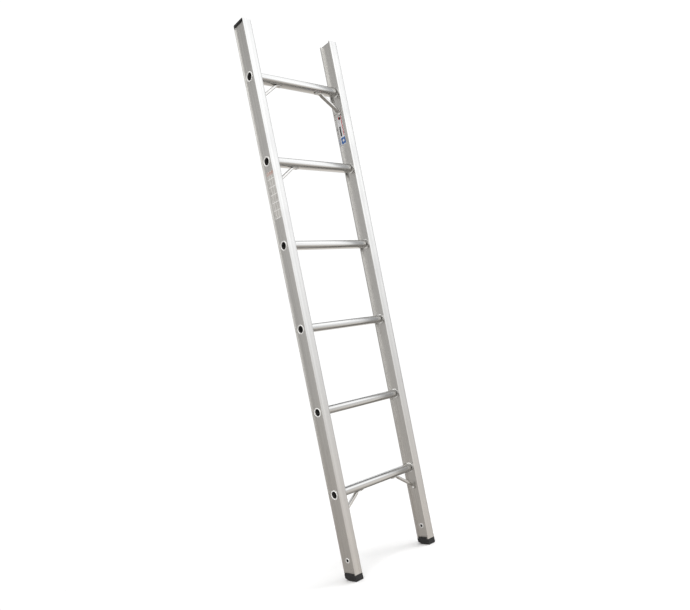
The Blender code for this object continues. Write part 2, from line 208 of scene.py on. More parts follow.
def turned(profile, sides=48):
    """A bmesh turned about Z from a closed profile, or one that starts and ends on the axis."""
    shape = bmesh.new()
    on_axis = profile[0][0] == 0
    ring_points = profile[1:-1] if on_axis else profile
    rings = []
    for step in range(sides):
        angle = 2 * math.pi * step / sides
        way = (math.cos(angle), math.sin(angle))
        rings.append([shape.verts.new((r * way[0], r * way[1], z)) for r, z in ring_points])
    ends = [shape.verts.new((0, 0, profile[i][1])) for i in (0, -1)] if on_axis else None
    for here, there in zip(rings, rings[1:] + rings[:1]):
        for low in range(len(ring_points) - 1):
            shape.faces.new((here[low], here[low + 1], there[low + 1], there[low]))
        if on_axis:
            shape.faces.new((ends[0], here[0], there[0]))
            shape.faces.new((ends[1], there[-1], here[-1]))
        else:
            shape.faces.new((here[-1], here[0], there[0], there[-1]))
    return shape


def rounded_outline(corners, steps=4):
    """An outline with each (x, y, radius) corner turned into an arc."""
    points = []
    count = len(corners)
    for index, (x, y, radius) in enumerate(corners):
        corner = Vector((x, y))
        before = (Vector(corners[index - 1][:2]) - corner).normalized()
        after = (Vector(corners[(index + 1) % count][:2]) - corner).normalized()
        for step in range(steps + 1):
            share = step / steps
            start, end = corner + before * radius, corner + after * radius
            # a quadratic arc through the corner's two tangent points
            points.append(start.lerp(corner, share).lerp(corner.lerp(end, share), share))
    return points


def extrude(outlines, low, high):
    """A bmesh of flat outlines, the first with the others as its holes, drawn out along Z."""
    shape = bmesh.new()
    edges = []
    for points in outlines:
        loop = [shape.verts.new((x, y, low)) for x, y in points]
        edges += [shape.edges.new((a, b)) for a, b in zip(loop, loop[1:] + loop[:1])]
    filled = bmesh.ops.triangle_fill(shape, use_beauty=True, edges=edges)
    faces = [item for item in filled["geom"] if isinstance(item, bmesh.types.BMFace)]
    drawn = bmesh.ops.extrude_face_region(shape, geom=faces, use_keep_orig=True)
    moved = [item for item in drawn["geom"] if isinstance(item, bmesh.types.BMVert)]
    bmesh.ops.translate(shape, vec=(0, 0, high - low), verts=moved)
    return shape


def cylinder(radius, length, centre, axis, sides=48):
    shape = bmesh.new()
    bmesh.ops.create_cone(
        shape, cap_ends=True, segments=sides, radius1=radius, radius2=radius, depth=length
    )
    turn = Vector((0, 0, 1)).rotation_difference(Vector(axis)).to_matrix()
    bmesh.ops.rotate(shape, matrix=turn, verts=shape.verts)
    bmesh.ops.translate(shape, vec=Vector(centre), verts=shape.verts)
    return new_object("cutter", mesh_from("cutter", shape))


def round_edges(shape, edges, radius, segments):
    bmesh.ops.bevel(
        shape, geom=edges, offset=radius, segments=segments, profile=0.5, affect="EDGES"
    )


def block(low, high, rounding=0.0):
    """A bmesh box between two corners, with every edge rounded."""
    shape = bmesh.new()
    bmesh.ops.create_cube(shape, size=1)
    low, high = Vector(low), Vector(high)
    bmesh.ops.scale(shape, vec=high - low, verts=shape.verts)
    bmesh.ops.translate(shape, vec=(low + high) / 2, verts=shape.verts)
    if rounding:
        round_edges(shape, shape.edges[:], rounding, 2)
    return shape


def combine(piece, others, operation, smooth_below=40):
    """Cuts the others from the piece, or joins them to it, and removes them."""
    for other in others:
        modifier = piece.modifiers.new("combine", "BOOLEAN")
        modifier.operation = operation
        modifier.object = other
        modifier.solver = "EXACT"
    bpy.context.view_layer.update()
    graph = bpy.context.evaluated_depsgraph_get()
    mesh = bpy.data.meshes.new_from_object(piece.evaluated_get(graph))
    piece.modifiers.clear()
    piece.data = mesh
    mesh.shade_smooth()
    mesh.set_sharp_from_angle(angle=math.radians(smooth_below))
    for other in others:
        bpy.data.objects.remove(other)
    return piece


# ---------------------------------------------------------------- materials


class Nodes:
    """A node tree, with short ways to add the nodes that the materials and the world share."""

    def __init__(self, tree, coordinates):
        self.tree = tree
        self.coordinates = tree.nodes.new("ShaderNodeTexCoord").outputs[coordinates]
        split = tree.nodes.new("ShaderNodeSeparateXYZ")
        tree.links.new(self.coordinates, split.inputs[0])
        self.axes = dict(zip("xyz", split.outputs))

    def put(self, value, socket):
        """Links an output to a socket, or sets the socket to a plain value."""
        if isinstance(value, bpy.types.NodeSocket):
            self.tree.links.new(value, socket)
        else:
            socket.default_value = value

    def noise(self, scale, stretch=(1, 1, 1), detail=3.0, offset=(0, 0, 0)):
        mapping = self.tree.nodes.new("ShaderNodeMapping")
        mapping.inputs["Scale"].default_value = stretch
        mapping.inputs["Location"].default_value = offset
        self.tree.links.new(self.coordinates, mapping.inputs["Vector"])
        texture = self.tree.nodes.new("ShaderNodeTexNoise")
        texture.inputs["Scale"].default_value = scale
        texture.inputs["Detail"].default_value = detail
        self.tree.links.new(mapping.outputs[0], texture.inputs["Vector"])
        return texture.outputs["Fac"]

    def spread(self, value, low, high, to_low=0.0, to_high=1.0):
        """The value's stretch from low to high, mapped onto another and held at its ends."""
        node = self.tree.nodes.new("ShaderNodeMapRange")
        node.interpolation_type = "SMOOTHSTEP"
        inputs = zip(("From Min", "From Max", "To Min", "To Max"), (low, high, to_low, to_high))
        for name, amount in inputs:
            node.inputs[name].default_value = amount
        self.put(value, node.inputs["Value"])
        return node.outputs["Result"]

    def math(self, operation, first, second=0.0):
        node = self.tree.nodes.new("ShaderNodeMath")
        node.operation = operation
        self.put(first, node.inputs[0])
        self.put(second, node.inputs[1])
        return node.outputs[0]

    def mix(self, share, first, second, blend="MIX"):
        node = self.tree.nodes.new("ShaderNodeMix")
        node.data_type = "RGBA"
        node.blend_type = blend
        self.put(share, node.inputs["Factor"])
        for value, socket in ((first, node.inputs[6]), (second, node.inputs[7])):
            self.put((*value, 1) if isinstance(value, tuple) else value, socket)
        return node.outputs[2]

    def band(self, value, low, high):
        """1 where the value lies between low and high, else 0."""
        above = self.math("GREATER_THAN", value, low)
        return self.math("MULTIPLY", above, self.math("LESS_THAN", value, high))


class Paint(Nodes):
    """A material built on one Principled shader, textured in the object's own space."""

    def __init__(self, name, roughness, metallic=0.0):
        self.material = bpy.data.materials.new(name)
        self.material.use_nodes = True
        super().__init__(self.material.node_tree, "Object")
        self.shader = self.tree.nodes["Principled BSDF"]
        self.shader.inputs["Roughness"].default_value = roughness
        self.shader.inputs["Metallic"].default_value = metallic

    def bump(self, height, strength, distance):
        node = self.tree.nodes.new("ShaderNodeBump")
        node.inputs["Strength"].default_value = strength
        node.inputs["Distance"].default_value = distance
        self.put(height, node.inputs["Height"])
        self.tree.links.new(node.outputs[0], self.shader.inputs["Normal"])

    def colour(self, value):
        self.put(value, self.shader.inputs["Base Color"])

    def rough(self, value):
        self.put(value, self.shader.inputs["Roughness"])


def aluminium(name, along, tint, roughness, lower_shade=0, scuffing=0.06, metallic=1.0):
    """Mill-finish aluminium: drawn lines along it, clouding, scuffs and painted shade that makes
    the lower end darker and warmer.
    """
    paint = Paint(name, roughness, metallic)
    stretch = tuple(0.004 if axis == along else 1 for axis in "xyz")
    lines = paint.noise(900, stretch, 4)
    broad_lines = paint.noise(160, stretch, 2, (0.31, 0.17, 0.05))
    clouds = paint.noise(9, detail=5)
    scuffs = paint.noise(70, (1, 1, 0.25) if along == "z" else (0.3, 1, 1), 6)
    duller = tuple(part * 0.9 for part in tint)
    colour = paint.mix(paint.spread(broad_lines, 0.35, 0.65), tint, duller)
    oxide, lower_shade_tone, worn = (0.78, 0.78, 0.79), (0.72, 0.675, 0.63), (0.55, 0.54, 0.53)
    colour = paint.mix(paint.spread(clouds, 0.45, 0.75, 0, 0.35), colour, oxide)
    # painted shade: the lower end darkened and warmed, fading out by 0.75 m
    lower_shade_share = paint.spread(paint.axes["z"], 0.0, 0.75, lower_shade, 0.0)
    colour = paint.mix(lower_shade_share, colour, lower_shade_tone)
    colour = paint.mix(paint.spread(scuffs, 0.62, 0.72, 0, scuffing), colour, worn)
    paint.colour(colour)
    rough = paint.spread(lines, 0.3, 0.7, roughness - 0.05, roughness + 0.08)
    rough = paint.math("ADD", rough, paint.spread(clouds, 0.4, 0.7, 0, 0.06))
    paint.rough(rough)
    paint.bump(paint.math("ADD", lines, broad_lines), 0.12, 0.0004)
    return paint.material


def rivet_metal():
    """Cold-headed rivets: painted highlight, lighter and less metallic than the tubes, with a faint
    orange-peel surface.
    """
    paint = Paint("rivet metal", 0.28, 0.45)
    grain = paint.noise(1400, detail=3)
    # painted highlight: both tones are light so heads and rims read bright; the grain mixes them at
    # random
    bright, dull = (0.96, 0.96, 0.95), (0.85, 0.85, 0.84)
    paint.colour(paint.mix(paint.spread(grain, 0.3, 0.7), bright, dull))
    paint.rough(paint.spread(grain, 0.3, 0.7, 0.22, 0.36))
    paint.bump(grain, 0.15, 0.0003)
    return paint.material


def bore_shade():
    """Painted shade for the inside of a rung: near black and dull."""
    paint = Paint("rung bore", 0.7, 0.2)
    patches = paint.noise(90, (0.2, 1, 1), 4)
    # painted shade: two near-black tones, mixed at random, both standing in for the shade in the
    # bore
    bore_shade_deep, dust = (0.02, 0.02, 0.02), (0.05, 0.048, 0.045)
    paint.colour(paint.mix(paint.spread(patches, 0.3, 0.7), bore_shade_deep, dust))
    paint.bump(patches, 0.1, 0.0004)
    return paint.material


def moulded_black(name, roughness, dust):
    """Black moulded plastic or rubber with a fine eroded grain and patches of dust."""
    paint = Paint(name, roughness)
    paint.shader.inputs["Specular IOR Level"].default_value = 0.3
    grain = paint.noise(1600, detail=4)
    patches = paint.noise(120, detail=4)
    dusty = paint.math("MULTIPLY", paint.spread(patches, 0.42, 0.68), dust)
    pit, peak, dust_tone = (0.013, 0.013, 0.014), (0.026, 0.026, 0.027), (0.11, 0.105, 0.10)
    colour = paint.mix(paint.spread(grain, 0.35, 0.65), pit, peak)
    paint.colour(paint.mix(dusty, colour, dust_tone))
    paint.rough(paint.spread(patches, 0.3, 0.7, roughness - 0.08, roughness + 0.1))
    paint.bump(grain, 0.3, 0.0004)
    return paint.material


def rating_film(z_low, z_high):
    """A narrow sticker's generic layout: a two-tone mark, a thin rule, a dark bar, a blue frame."""
    paint = Paint("rating film", 0.35)
    height = z_high - z_low
    share = paint.math("DIVIDE", paint.math("SUBTRACT", paint.axes["z"], z_low), height)
    across = paint.axes["y"]
    paper, pale_paper = (0.60, 0.61, 0.63), (0.68, 0.69, 0.71)
    colour = paint.mix(paint.spread(paint.noise(60, detail=3), 0.3, 0.7), paper, pale_paper)
    blocks = [  # the share of the height and the width that each block spans, and its colour
        ((0.90, 0.985), (0.007, 0.013), (0.55, 0.03, 0.03)),
        ((0.88, 0.97), (0.001, 0.010), (0.01, 0.01, 0.01)),
        ((0.29, 0.99), (-0.004, -0.0005), (0.48, 0.06, 0.06)),
        ((0.30, 0.65), (0.008, 0.016), (0.02, 0.02, 0.02)),
        ((0.02, 0.25), (-0.005, 0.018), (0.05, 0.13, 0.34)),
        ((0.10, 0.18), (0.002, 0.011), paper),
    ]
    for (low, high), (left, right), tone in blocks:
        mask = paint.math("MULTIPLY", paint.band(share, low, high), paint.band(across, left, right))
        colour = paint.mix(mask, colour, tone)
    paint.colour(colour)
    paint.rough(paint.spread(paint.noise(300, detail=2), 0.3, 0.7, 0.28, 0.42))
    paint.bump(paint.noise(90, detail=2), 0.1, 0.0005)
    return paint.material


def instruction_film(z_low, z_high):
    """A long grey sticker with a grid of lighter cell edges and a reddish band at its top."""
    paint = Paint("instruction film", 0.4, 0.3)
    grey, pale_grey, ink = (0.50, 0.49, 0.47), (0.58, 0.57, 0.55), (0.22, 0.22, 0.22)
    cell_edge, top_tone = (0.82, 0.82, 0.81), (0.50, 0.22, 0.16)
    cell_height = (z_high - z_low) / GRID_ROWS
    cells_up = paint.math("DIVIDE", paint.math("SUBTRACT", paint.axes["z"], z_low), cell_height)
    from_left = paint.math("SUBTRACT", paint.axes["y"], GRID_LEFT)
    cells_across = paint.math("DIVIDE", from_left, GRID_CELL_WIDTH)
    print_blur = paint.noise(170, detail=4)
    film = paint.mix(paint.spread(paint.noise(40, detail=4), 0.3, 0.7), grey, pale_grey)
    film = paint.mix(paint.spread(print_blur, 0.56, 0.68, 0, 0.6), film, ink)
    up_line = paint.band(paint.math("FRACT", cells_up), 0.0, 0.1)
    across_line = paint.band(paint.math("FRACT", cells_across), 0.0, 0.14)
    colour = paint.mix(paint.math("MAXIMUM", up_line, across_line), film, cell_edge)
    top_band = paint.math("GREATER_THAN", cells_up, GRID_ROWS - 0.5)
    red_share = paint.math("MULTIPLY", top_band, paint.spread(print_blur, 0.42, 0.58, 0.1, 0.6))
    paint.colour(paint.mix(red_share, colour, top_tone))
    paint.rough(paint.spread(paint.noise(200, detail=2), 0.3, 0.7, 0.32, 0.48))
    paint.bump(paint.noise(80, detail=2), 0.1, 0.0005)
    return paint.material


# the stiles carry painted shade at their lower ends
STILE_METAL = aluminium("stile aluminium", "z", (0.86, 0.86, 0.85), 0.3, 0.3, scuffing=0.25)
RUNG_METAL = aluminium("rung aluminium", "x", (0.78, 0.78, 0.77), 0.12)
# painted highlight: a lighter, less metallic copy of the aluminium, so the swaged ends read bright
FLARE_PAINTED_HIGHLIGHT = aluminium("swaged rung ends", "x", (0.97, 0.97, 0.96), 0.2, metallic=0.35)
BORE_SHADE = bore_shade()
BRACE_METAL = aluminium("brace aluminium", "x", (0.76, 0.75, 0.73), 0.14)
RIVET_METAL = rivet_metal()
FOOT_RUBBER = moulded_black("foot rubber", 0.62, 0.12)
CAP_PLASTIC = moulded_black("cap plastic", 0.5, 0.12)


# ---------------------------------------------------------------- stiles


def stile_section(side):
    """The stile's outline, with eased front and back faces and drawn grooves, and its core."""
    half = HALF_DEPTH
    outer_half, inner_half, core_half = half - OUTER_FLANGE, half - INNER_FLANGE, half - FACE_WALL
    lip, nose, root = 0.0005, 0.0006, 0.0008
    ease_width, ease_drop = 0.0042, 0.0007  # the slight fall of a face towards its edges
    groove_depth, groove_half = 0.0004, 0.0008
    outer_groove, inner_groove = 0.019, 0.016  # their distance from the middle of each web

    def groove(x, y, x_way, y_way):
        """Three corners of a shallow V groove in a face, in the order that the outline runs."""
        depth = Vector((-y_way, x_way)) * groove_depth
        along = Vector((x_way, y_way)) * groove_half
        here = Vector((x, y))
        return [(*(here - along), 0.0001), (*(here + depth), 0.0002), (*(here + along), 0.0001)]

    def flange(sign):
        """One flange from its outer root to its inner one: the back for 1, the front for -1."""
        edge = sign * (half - ease_drop)
        return [
            (OUTER_WEB, sign * outer_half, root),
            (OUTER_X, sign * outer_half, lip),
            (OUTER_X, edge, nose),
            (OUTER_X - ease_width, sign * half, 0.001),
            (INNER_X + ease_width, sign * half, 0.001),
            (INNER_X, edge, nose),
            (INNER_X, sign * inner_half, lip),
            (INNER_WEB, sign * inner_half, root),
        ]

    outline = []
    for y in (-outer_groove, outer_groove):
        outline += groove(OUTER_WEB, y, 0, 1)
    outline += flange(1)
    for y in (inner_groove, -inner_groove):
        outline += groove(INNER_WEB, y, 0, -1)
    outline += flange(-1)[::-1]
    core_outer, core_inner = OUTER_WEB - WALL, INNER_WEB + WALL
    core = [
        (core_outer, -core_half, root),
        (core_outer, core_half, root),
        (core_inner, core_half, root),
        (core_inner, -core_half, root),
    ]
    return [[(side * x, y) for x, y in rounded_outline(loop)] for loop in (outline, core)]


def make_stile(word, side):
    name = word + "_stile"
    shape = extrude(stile_section(side), STILE_BOTTOM, STILE_TOP)
    stile = new_object(name + "_extrusion", mesh_from(name, shape, 25))
    across = (1, 0, 0)
    middle = side * (OUTER_X + INNER_X) / 2
    reach = 2 * (OUTER_X - INNER_X)
    cutters = [
        cylinder(SPIGOT_RADIUS + GAP / 2, reach, (middle, 0, rung_centre(rung).z), across)
        for rung in RUNG_NAMES
    ]
    low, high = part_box(word + "_foot_eyelet")
    eyelet = (low + high) / 2
    cutters.append(cylinder(EYELET_TUBE_RADIUS + GAP / 2, reach, (middle, 0, eyelet.z), across))
    combine(stile, cutters, "DIFFERENCE", 25)
    place(stile, STILE_METAL, "stile_aluminium", name)


# ---------------------------------------------------------------- rungs


def superellipse(angle, squareness):
    """A point on the superellipse of unit half axes: a circle at squareness 2, squarer above."""
    return [
        math.copysign(abs(way) ** (2 / squareness), way)
        for way in (math.cos(angle), math.sin(angle))
    ]


def tube_ring(x, half_depth, half_height, squareness, tread=0.0):
    """A ring of the rung at x: an oval whose top has fine ridges, as high as the share tread."""
    ring = []
    for step in range(RUNG_SIDES):
        across, up = superellipse(2 * math.pi * step / RUNG_SIDES, squareness)
        y, z = across * half_depth, up * half_height
        if z > 0 and abs(y) < TREAD_HALF:
            z -= tread * RIDGE_HEIGHT * math.sin(math.pi * (y / RIDGE_PITCH + 0.5)) ** 2
        ring.append(Vector((x, y, z)))
    return ring


def ease(share):
    return share * share * (3 - 2 * share)


def rung_rings():
    """The rings from one flared mouth to the other along the outside, then back along the bore."""
    flare_root = OUTER_WEB + GAP
    bead_root = INNER_WEB - GAP
    depth, height = BODY_DEPTH / 2, BODY_HEIGHT / 2

    def rolled(angle):
        """A station on the flare's rolled lip, from its outer root at 0 to its inner one at pi."""
        middle, half_width = (FLARE_RADIUS + MOUTH_RADIUS) / 2, (FLARE_RADIUS - MOUTH_RADIUS) / 2
        radius = middle + math.cos(angle) * half_width
        return (flare_root + math.sin(angle) * (RUNG_END - flare_root), radius, radius, 2, 0)

    outside = [rolled(math.pi / 2 * (1 - step / 6)) for step in range(7)]
    outside.append((flare_root, SPIGOT_RADIUS, SPIGOT_RADIUS, 2, 0))
    for step in range(9):  # the rolled bead against the inner web
        angle = math.pi * step / 8
        radius = SPIGOT_RADIUS + (BEAD_RADIUS - SPIGOT_RADIUS) * math.sin(angle)
        x = bead_root - BEAD_LENGTH * (1 - math.cos(angle)) / 2
        outside.append((x, radius, radius, 2, 0))
    neck_start = bead_root - BEAD_LENGTH
    body_start = INNER_WEB - NECK_LENGTH
    for step in range(1, 9):  # the neck opening out into the oval
        share = ease(step / 8)
        x = neck_start + (body_start - neck_start) * step / 8
        half_depth = SPIGOT_RADIUS + (depth - SPIGOT_RADIUS) * share
        half_height = SPIGOT_RADIUS + (height - SPIGOT_RADIUS) * share
        outside.append((x, half_depth, half_height, 2 + (SQUARENESS - 2) * share, share))
    bore = [
        (body_start, depth - WALL, height - WALL, SQUARENESS, 0),
        (neck_start, BORE_RADIUS, BORE_RADIUS, 2, 0),
        (flare_root - 0.002, BORE_RADIUS, BORE_RADIUS, 2, 0),
    ]
    bore += [rolled(math.pi * (1 - step / 12)) for step in range(6)]
    rings = [tube_ring(*station) for station in outside]
    rings += [tube_ring(-x, *section) for x, *section in reversed(outside)]
    rings += [tube_ring(-x, *section) for x, *section in reversed(bore)]
    rings += [tube_ring(*station) for station in bore]
    return rings


def paint_bore_shade(piece, centre, radius, half_length=1.0):
    """Painted shade: the bore's material on the faces that look at the piece's X axis from within a
    radius.
    """
    piece.data.materials.append(BORE_SHADE)
    dark = len(piece.data.materials) - 1
    for face in piece.data.polygons:
        offset = face.center - centre
        inward = face.normal.y * offset.y + face.normal.z * offset.z < 0
        near = math.hypot(offset.y, offset.z) < radius and abs(offset.x) < half_length
        if inward and near and abs(face.normal.x) < 0.7:
            face.material_index = dark


def make_rungs():
    mesh = mesh_from("ridged_rung", skin(rung_rings(), hollow=True), 50)
    for name in RUNG_NAMES:
        rung = new_object(name + "_tube", mesh.copy())
        centre = rung_centre(name)
        rung.data.transform(Matrix.Translation((0, 0, centre.z)))
        place(rung, RUNG_METAL, "rung_aluminium", name)
        for face in rung.data.polygons:  # painted highlight: the swaged ends get a lighter, less metallic copy of the aluminium
            if abs(face.center.x) > INNER_WEB - NECK_LENGTH:
                face.material_index = 1
        rung.data.materials.append(FLARE_PAINTED_HIGHLIGHT)
        # painted shade inside the rung's bore
        paint_bore_shade(rung, centre, BODY_DEPTH / 2, OUTER_WEB - GAP)


# ---------------------------------------------------------------- braces


def brace_path(name):
    """The middle line from the upper tab's end to the lower one, for a brace on the right side.

    Also the sign of the brace's own side.
    """
    low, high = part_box(name)
    side = 1 if high.x > 0 else -1
    web_x = high.x if side > 0 else -low.x
    end_x = low.x if side > 0 else -high.x
    half = TAB_THICKNESS / 2
    upper_z, lower_x = high.z - half, web_x - half
    bend_z = low.z + LOWER_TAB_LENGTH
    corners = [
        Vector((end_x, 0, upper_z)),
        Vector((end_x + UPPER_TAB_LENGTH, 0, upper_z)),
        Vector((lower_x, 0, bend_z)),
        Vector((lower_x, 0, low.z)),
    ]
    points = [corners[0]]
    for before, corner, after in zip(corners, corners[1:], corners[2:]):
        start = corner + (before - corner).normalized() * BEND_RADIUS
        end = corner + (after - corner).normalized() * BEND_RADIUS
        for step in range(9):
            share = step / 8
            points.append(start.lerp(corner, share).lerp(corner.lerp(end, share), share))
    points.append(corners[3])
    return resample(points, BRACE_SPACING), side


def resample(points, spacing):
    """Points at an even spacing along a polyline, both ends kept."""
    lengths = [(b - a).length for a, b in zip(points, points[1:])]
    total = sum(lengths)
    count = max(2, round(total / spacing))
    result, index, done = [], 0, 0.0
    for step in range(count + 1):
        target = total * step / count
        while index < len(lengths) - 1 and done + lengths[index] < target:
            done += lengths[index]
            index += 1
        share = (target - done) / lengths[index] if lengths[index] else 0
        result.append(points[index].lerp(points[index + 1], min(share, 1)))
    return result


def make_brace(name):
    """A tube pressed flat at both ends, its tabs cut round at their tips."""
    path, side = brace_path(name)
    total = sum((b - a).length for a, b in zip(path, path[1:]))
    rings, done = [], 0.0
    for index, point in enumerate(path):
        before, after = path[max(index - 1, 0)], path[min(index + 1, len(path) - 1)]
        along = (after - before).normalized()
        thin_way = Vector((-along.z, 0, along.x))
        if index:
            done += (point - path[index - 1]).length
        from_end = min(done - UPPER_TAB_LENGTH, total - done - LOWER_TAB_LENGTH)
        share = ease(max(0, min(1, from_end / PRESSED_LENGTH)))
        thick = (TAB_THICKNESS + (BRACE_THICKNESS - TAB_THICKNESS) * share) / 2
        wide = BRACE_HALF_WIDTH
        squareness = TAB_SQUARENESS + (BRACE_SQUARENESS - TAB_SQUARENESS) * share
        to_tip = min(done, total - done)
        if to_tip < BRACE_HALF_WIDTH:
            inside = 1 - to_tip / BRACE_HALF_WIDTH
            wide *= max(TIP_SHARE, math.sqrt(max(0, 1 - inside * inside)))
        ring = []
        for step in range(BRACE_SIDES):
            angle = 2 * math.pi * step / BRACE_SIDES
            thin, width = superellipse(angle, squareness)
            corner = point + thin_way * (thin * thick)
            ring.append(Vector((side * corner.x, width * wide, corner.z)))
        rings.append(ring)
    brace = new_object(name + "_tube", mesh_from(name, skin(rings), 50))
    place(brace, BRACE_METAL, "brace_aluminium", name)


# ---------------------------------------------------------------- rivets and eyelets


def make_rivet(name):
    """A domed blind rivet with a pierced head, standing along the solid's longest side."""
    low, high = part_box(name)
    centre, size = (low + high) / 2, high - low
    upright = size.z > size.x
    length = size.z if upright else size.x
    into = Vector((0, 0, 1)) if upright else Vector((math.copysign(1, centre.x), 0, 0))
    head, piercing, tail = RIVET_HEAD_RADIUS, RIVET_PIERCING_RADIUS, RIVET_TAIL_RADIUS
    start, end = -length / 2, length / 2
    seat = start + RIVET_HEAD_HEIGHT
    profile = [
        (0, start + RIVET_HEAD_HEIGHT * 0.55),
        (piercing * 0.75, start + RIVET_HEAD_HEIGHT * 0.5),
        (piercing, start + 0.0001),
    ]
    for step in range(1, 9):  # the dome of the head
        angle = math.pi / 2 * step / 8
        radius = piercing + (head - piercing) * math.sin(angle)
        profile.append((radius, start + RIVET_HEAD_HEIGHT * (1 - math.cos(angle))))
    profile += [
        (RIVET_SHANK_RADIUS, seat),
        (RIVET_SHANK_RADIUS, end - RIVET_TAIL_LENGTH),
        (tail, end - RIVET_TAIL_LENGTH + 0.0001),
        (tail, end - 0.001),
        (tail * 0.6, end),
        (0, end),
    ]
    rivet = new_object(name + "_domed", mesh_from(name, turned(profile), 50))
    turn = Vector((0, 0, 1)).rotation_difference(into).to_matrix().to_4x4()
    rivet.data.transform(Matrix.Translation(centre) @ turn)
    place(rivet, RIVET_METAL, "rivet_metal", name)


def make_eyelet(word):
    """A foot's hollow rivet, rolled over on both webs."""
    name = word + "_foot_eyelet"
    low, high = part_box(name)
    centre, half = (low + high) / 2, (high.x - low.x) / 2
    flange, bore = (high.z - low.z) / 2, EYELET_BORE_RADIUS
    web = half - EYELET_LIP
    profile = []
    for sign in (1, -1):
        rim = [(bore, sign * (half - EYELET_LIP * 1.4))]
        for step in range(9):
            angle = math.pi * step / 8
            radius = (flange + bore) / 2 - (flange - bore) / 2 * math.cos(angle)
            rim.append((radius, sign * (web + EYELET_LIP * math.sin(angle))))
        rim.append((EYELET_TUBE_RADIUS, sign * web))
        profile += rim if sign > 0 else rim[::-1]
    eyelet = new_object(name + "_rolled", mesh_from(name, turned(profile), 50))
    turn = Matrix.Rotation(math.pi / 2, 4, "Y")
    eyelet.data.transform(Matrix.Translation(centre) @ turn)
    place(eyelet, RIVET_METAL, "rivet_metal", name)
    # painted shade inside the eyelet's hole
    paint_bore_shade(eyelet, centre, EYELET_BORE_RADIUS * 1.1)


# ---------------------------------------------------------------- feet and caps


def make_foot(word, side):
    """The moulded foot: a block with a grooved sole that rises at the back, insert and steps."""
    name = word + "_foot"
    low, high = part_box(name)
    top = STILE_BOTTOM - GAP
    front, back = -HALF_DEPTH, HALF_DEPTH
    profile = [(front, top), (front, 0), (SOLE_FLAT_END, 0), (back, SOLE_LIFT), (back, top)]
    shape = skin([[(x, y, z) for y, z in profile] for x in (low.x, high.x)])
    lower = [edge for edge in shape.edges if all(v.co.z < STILE_BOTTOM / 2 for v in edge.verts)]
    round_edges(shape, lower, FOOT_ROUNDING, 4)
    foot = new_object(name + "_moulding", mesh_from(name, shape))
    core_outer, core_inner = OUTER_WEB - WALL - GAP, INNER_WEB + WALL + GAP
    step_top = STILE_BOTTOM + STEP_HEIGHT
    spans = [  # the insert, the outer and inner steps, and the seat that joins them
        (core_inner, core_outer, back - FACE_WALL - GAP, high.z),
        (OUTER_WEB + GAP, OUTER_X - STEP_SETBACK, back - OUTER_FLANGE - GAP, step_top),
        (INNER_X + STEP_SETBACK, INNER_WEB - GAP, back - INNER_FLANGE - GAP, step_top),
        (INNER_X, OUTER_X, back, top),
    ]
    additions = []
    for x_low, x_high, reach, z_high in spans:
        x_low, x_high = sorted((side * x_low, side * x_high))
        shape = block((x_low, -reach, top - STEP_ROOT), (x_high, reach, z_high), STEP_ROUNDING)
        additions.append(new_object("addition", mesh_from("addition", shape)))
    combine(foot, additions, "UNION")
    grooves = []
    for step in range(-3, 2):
        y = step * SOLE_GROOVE_PITCH
        shape = block(
            (low.x - 0.01, y - SOLE_GROOVE_HALF_WIDTH, low.z - 0.01),
            (high.x + 0.01, y + SOLE_GROOVE_HALF_WIDTH, SOLE_GROOVE_DEPTH),
        )
        grooves.append(new_object("groove", mesh_from("groove", shape)))
    low_eye, high_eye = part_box(word + "_foot_eyelet")
    eye = (low_eye + high_eye) / 2
    grooves.append(cylinder(EYELET_TUBE_RADIUS + GAP / 2, 0.06, (eye.x, 0, eye.z), (1, 0, 0)))
    combine(foot, grooves, "DIFFERENCE", 30)
    place(foot, FOOT_RUBBER, "foot_rubber", name)


def make_cap(word, side):
    """The plastic cap: a softened plate with a skirt in the outer recess and an insert."""
    name = word + "_top_cap"
    low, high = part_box(name)
    plate_low = STILE_TOP + GAP
    plate = block((low.x, low.y, plate_low), high, CAP_ROUNDING)
    cap = new_object(name + "_moulding", mesh_from(name, plate))
    spans = [  # the insert and the skirt
        (INNER_WEB + WALL + GAP, OUTER_WEB - WALL - GAP, low.z),
        (OUTER_WEB + GAP, OUTER_X - GAP, STILE_TOP - CAP_SKIRT_DEPTH),
    ]
    additions = []
    for x_low, x_high, z_low in spans:
        x_low, x_high = sorted((side * x_low, side * x_high))
        z_high = plate_low + CAP_ROOT
        shape = block((x_low, low.y, z_low), (x_high, high.y, z_high), CAP_ROUNDING)
        additions.append(new_object("addition", mesh_from("addition", shape)))
    combine(cap, additions, "UNION")
    place(cap, CAP_PLASTIC, "cap_plastic", name)


# ---------------------------------------------------------------- stickers


def make_sticker(name, paint):
    """A thin film with rounded corners in place of the plain sticker solid."""
    low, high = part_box(name)
    corners = [(low.y, low.z), (high.y, low.z), (high.y, high.z), (low.y, high.z)]
    outline = rounded_outline([(*corner, STICKER_ROUNDING) for corner in corners], 6)
    mesh = mesh_from(name, extrude([outline], 0, high.x - low.x))
    # the outline's own x and y become the sticker's y and z
    mesh.transform(Matrix(((0, 0, 1, low.x), (1, 0, 0, 0), (0, 1, 0, 0), (0, 0, 0, 1))))
    sticker = new_object(name + "_film", mesh)
    place(sticker, paint(low.z, high.z), "sticker", name)


# ---------------------------------------------------------------- stage


